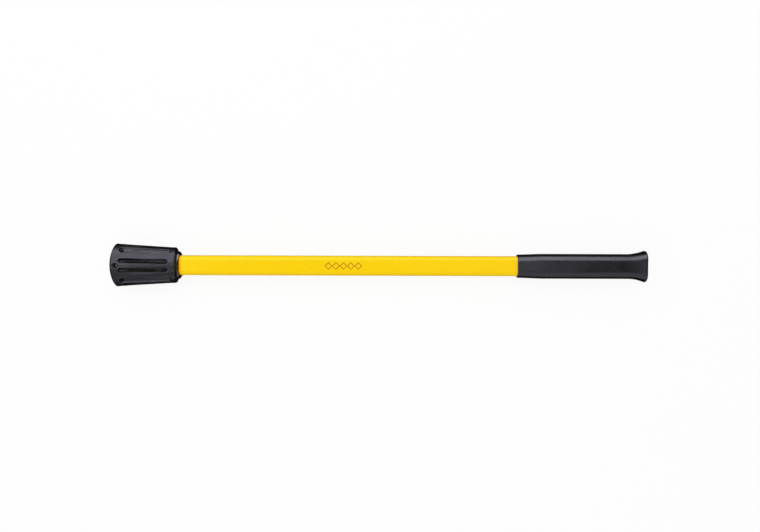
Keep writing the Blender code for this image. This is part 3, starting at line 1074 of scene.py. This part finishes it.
def makeGrip():
    start, end = gripLow.x - eyeEnd, gripHigh.x - eyeEnd
    lip, edge = grip["lipRadius"], grip["buttEdge"]
    mouth = []
    for step in range(grip["mouthSteps"] + 1):
        angle = math.radians(90 * step / grip["mouthSteps"])
        mouth.append(gripRing(start + lip * (1 - math.cos(angle)), lip * (1 - math.sin(angle))))
    length = end - edge - start - lip
    count = round(length / grip["stepAlong"])
    body = [gripRing(start + lip + length * i / count) for i in range(1, count + 1)]
    butt = []
    for step in range(1, grip["buttSteps"] + 1):
        angle = math.radians(90 * step / grip["buttSteps"])
        butt.append(gripRing(end - edge * (1 - math.sin(angle)), edge * (1 - math.cos(angle))))
    inside = shaftSection(grip["boreGap"], grip["cornerSteps"])
    bore = [ringAt(x + grip["mouthDepth"], inside) for x in (jacketHigh.x, gripLow.x)]
    bore.append(ringAt(gripLow.x, shaftSection(grip["mouthGap"], grip["cornerSteps"])))
    piece = skin("rubberGrip", bore + mouth + body + butt)
    return finishPiece(piece, makeRubber(), "rubber_grip", sharp=40)


# a plain outlined mark on the shaft, with no letters

mark = {
    "count": 5,
    "centreAt": 395.8 * mm,
    "spacing": 12.7 * mm,
    "size": 11.2 * mm,
    "line": 1.65 * mm,
    "thickness": 0.08 * mm,
    "lift": 0.03 * mm,
    "sideShare": 0.72,
}


def markTree():
    tree, source, result = newGeometryTree("outlinedMark", (
        ("Count", "NodeSocketInt", 5),
        ("Spacing", "NodeSocketFloat", 12 * mm),
        ("Size", "NodeSocketFloat", 10 * mm),
        ("Line", "NodeSocketFloat", 0.7 * mm),
        ("Thickness", "NodeSocketFloat", 0.1 * mm),
        ("Material", "NodeSocketMaterial", None),
    ))
    step = addNode(tree, "ShaderNodeCombineXYZ")
    feed(tree, step.inputs["X"], source.outputs["Spacing"])
    row = addNode(tree, "GeometryNodeMeshLine")
    feed(tree, row.inputs["Count"], source.outputs["Count"])
    feed(tree, row.inputs["Offset"], step.outputs[0])
    shape = addNode(tree, "GeometryNodeCurvePrimitiveQuadrilateral", mode="RECTANGLE")
    side = times(tree, source.outputs["Size"], mark["sideShare"])
    feed(tree, shape.inputs["Width"], side)
    feed(tree, shape.inputs["Height"], side)
    turned = addNode(tree, "GeometryNodeTransform")
    turned.inputs["Rotation"].default_value = (0, 0, math.radians(45))
    feed(tree, turned.inputs["Geometry"], shape.outputs[0])
    bar = addNode(tree, "GeometryNodeCurvePrimitiveQuadrilateral", mode="RECTANGLE")
    feed(tree, bar.inputs["Width"], source.outputs["Line"])
    feed(tree, bar.inputs["Height"], source.outputs["Thickness"])
    ribbon = addNode(tree, "GeometryNodeCurveToMesh")
    feed(tree, ribbon.inputs["Curve"], turned.outputs[0])
    feed(tree, ribbon.inputs["Profile Curve"], bar.outputs[0])
    copies = addNode(tree, "GeometryNodeInstanceOnPoints")
    feed(tree, copies.inputs["Points"], row.outputs[0])
    feed(tree, copies.inputs["Instance"], ribbon.outputs[0])
    real = addNode(tree, "GeometryNodeRealizeInstances")
    feed(tree, real.inputs[0], copies.outputs[0])
    paint = addNode(tree, "GeometryNodeSetMaterial")
    feed(tree, paint.inputs["Geometry"], real.outputs[0])
    feed(tree, paint.inputs["Material"], source.outputs["Material"])
    feed(tree, result.inputs["Geometry"], paint.outputs[0])
    return tree


def makeMark():
    material = makeSpeckled(inkFinish)
    piece = newObject("shaftMark", bpy.data.meshes.new("shaftMark"))
    useTree(
        piece, markTree(), Count=mark["count"], Spacing=mark["spacing"], Size=mark["size"],
        Line=mark["line"], Thickness=mark["thickness"], Material=material,
    )
    bake(piece)
    first = mark["centreAt"] - mark["spacing"] * (mark["count"] - 1) / 2
    lift = axisHeight + shaftHalfDepth + mark["lift"]
    piece.data.transform(Matrix.Translation((eyeEnd + first, 0, lift)))
    return finishPiece(piece, material, None)


# floor, light and camera

studio = {
    "floorSize": 14.0,
    "floorGap": 0.2 * mm,
    "floorColour": (0.9, 0.9, 0.9),
    "floorRoughness": 0.9,
    "floorShade": 0.10,
    "wrap": 0.62,
    "sheenAbove": 0.05,
    "sheenHorizon": 0.12,
    "sheenBelow": 0.006,
    "sheenFade": (0.25, 0.6),
    "horizonFade": (-0.02, 0.12),
    "backdrop": 1.0,
}
# name: (place, width, height, brightness, "light" for the surfaces or "gloss" for the reflections)
softboxes = {
    "keyLight": ((-0.25, 0.92, 1.24), 3.0, 1.6, 1.15, "light"),
    "keyGloss": ((-0.30, 1.05, 1.10), 2.9, 1.75, 4.0, "gloss"),
    "fillLight": ((0.0, -1.15, 1.15), 2.6, 0.9, 0.9, "light"),
    "fillGloss": ((0.0, -1.15, 0.95), 2.6, 1.9, 0.95, "gloss"),
    "eyeGloss": ((-1.05, -0.05, 1.5), 0.7, 0.6, 5.0, "gloss"),
    "gripGloss": ((0.33, -0.05, 1.5), 0.5, 0.6, 1.15, "gloss"),
}


def makeFloor():
    half = studio["floorSize"] / 2
    mesh = bpy.data.meshes.new("floor")
    corners = [(-half, -half, 0), (half, -half, 0), (half, half, 0), (-half, half, 0)]
    mesh.from_pydata(corners, [], [(0, 1, 2, 3)])
    floor = newObject("floor", mesh)
    floor.location.z = cadLow.z - studio["floorGap"]
    material = bpy.data.materials.new("paleFloor")
    material.use_nodes = True
    tree = material.node_tree
    shader = tree.nodes["Principled BSDF"]
    shader.inputs["Base Color"].default_value = (*studio["floorColour"], 1)
    shader.inputs["Roughness"].default_value = studio["floorRoughness"]
    shader.inputs["Specular IOR Level"].default_value = 0.0
    glow = addNode(tree, "ShaderNodeEmission")
    glow.inputs["Color"].default_value = (1, 1, 1, 1)
    glow.inputs["Strength"].default_value = studio["backdrop"]
    seen = addNode(tree, "ShaderNodeLightPath").outputs["Is Camera Ray"]
    mixed = addNode(tree, "ShaderNodeMixShader")
    feed(tree, mixed.inputs[0], times(tree, seen, 1 - studio["floorShade"]))
    tree.links.new(shader.outputs[0], mixed.inputs[1])
    tree.links.new(glow.outputs[0], mixed.inputs[2])
    tree.links.new(mixed.outputs[0], tree.nodes["Material Output"].inputs["Surface"])
    mesh.materials.append(material)
    floor.visible_glossy = False


def makeWorld():
    # a white backdrop, an even wrap of soft light, and dim surroundings in the gloss
    world = bpy.data.worlds.new("studioAir")
    bpy.context.scene.world = world
    world.use_nodes = True
    tree = world.node_tree
    back = tree.nodes["Background"]
    back.inputs["Color"].default_value = (1, 1, 1, 1)
    direction = addNode(tree, "ShaderNodeSeparateXYZ")
    feed(tree, direction.inputs[0], addNode(tree, "ShaderNodeTexCoord").outputs["Generated"])
    levels = studio["sheenHorizon"], studio["sheenAbove"]
    high = between(tree, direction.outputs["Z"], *studio["sheenFade"], *levels)
    sheen = between(tree, direction.outputs["Z"], *studio["horizonFade"])
    sheen = combine(tree, "MULTIPLY_ADD", sheen, high)
    sheen.node.inputs[2].default_value = studio["sheenBelow"]
    path = addNode(tree, "ShaderNodeLightPath")
    strength = sheen
    for seen, value in (("Is Diffuse Ray", studio["wrap"]), ("Is Camera Ray", studio["backdrop"])):
        mixed = addNode(tree, "ShaderNodeMix", data_type="FLOAT")
        feed(tree, mixed.inputs[0], path.outputs[seen])
        feed(tree, mixed.inputs[2], strength)
        mixed.inputs[3].default_value = value
        strength = mixed.outputs[0]
    feed(tree, back.inputs["Strength"], strength)


def makeLights():
    middle = Vector((0, 0, axisHeight))
    for name, (place, width, height, brightness, use) in softboxes.items():
        light = bpy.data.lights.new(name, "AREA")
        light.shape = "RECTANGLE"
        light.size = width
        light.size_y = height
        light.energy = brightness * math.pi * width * height
        lamp = newObject(name, light)
        lamp.location = place
        lamp.rotation_mode = "QUATERNION"
        lamp.rotation_quaternion = (middle - Vector(place)).to_track_quat("-Z", "Y")
        lamp.visible_camera = False
        lamp.visible_diffuse = use == "light"
        lamp.visible_glossy = use == "gloss"


camera = {
    "distance": 1.465,
    "sensor": 36,
    "lens": 40.35,
    "lean": 2.6,
    "roll": 0.18,
    "aim": (1.0 * mm, -0.45 * mm),
}


def makeCamera():
    data = bpy.data.cameras.new("camera")
    data.sensor_width = camera["sensor"]
    data.lens = camera["lens"]
    lean = math.radians(camera["lean"])
    back = Vector((0, math.sin(lean), math.cos(lean)))
    up = Vector((0, math.cos(lean), -math.sin(lean)))
    right = up.cross(back)
    turn = Matrix((right, up, back)).transposed() @ Matrix.Rotation(math.radians(camera["roll"]), 3, "Z")
    holder = newObject("camera", data)
    holder.location = Vector((*camera["aim"], axisHeight)) + back * camera["distance"]
    holder.rotation_euler = turn.to_euler()
    bpy.context.scene.camera = holder


makeCamera()
makeFloor()
makeWorld()
makeLights()
bpy.context.scene.view_settings.view_transform = "Standard"
print("studio ready")

makeJacket()
makeCore()
makeCollar()
makeResin()
makePin()
makeGrip()
makeMark()
